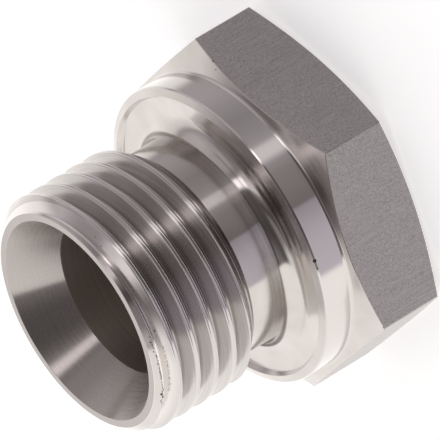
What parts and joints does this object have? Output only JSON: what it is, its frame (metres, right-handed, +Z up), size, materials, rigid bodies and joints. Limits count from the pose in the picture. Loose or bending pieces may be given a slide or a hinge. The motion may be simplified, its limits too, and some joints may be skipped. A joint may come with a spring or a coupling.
{
  "type": "hydraulic plug",
  "caption": "Blanking plug with a hexagon head, sealing collar, relieved neck, external pipe thread and a hollow nose with a 60 degree cone.",
  "frame": {"origin": "centre of the hexagon's flat end face, which is the bottom centre of the bounding box", "axes": "+Z up the plug's axis from the hexagon's end face to the open mouth, +X through a corner of the hexagon"},
  "size_m": [0.0312, 0.027, 0.0244],
  "materials": {
    "plug_body": "turned bright on the round surfaces, cold-drawn matt on the hexagon flats"
  },
  "bodies": {
    "root": {"plug_body": "plug_body"}
  },
  "joints": []
}
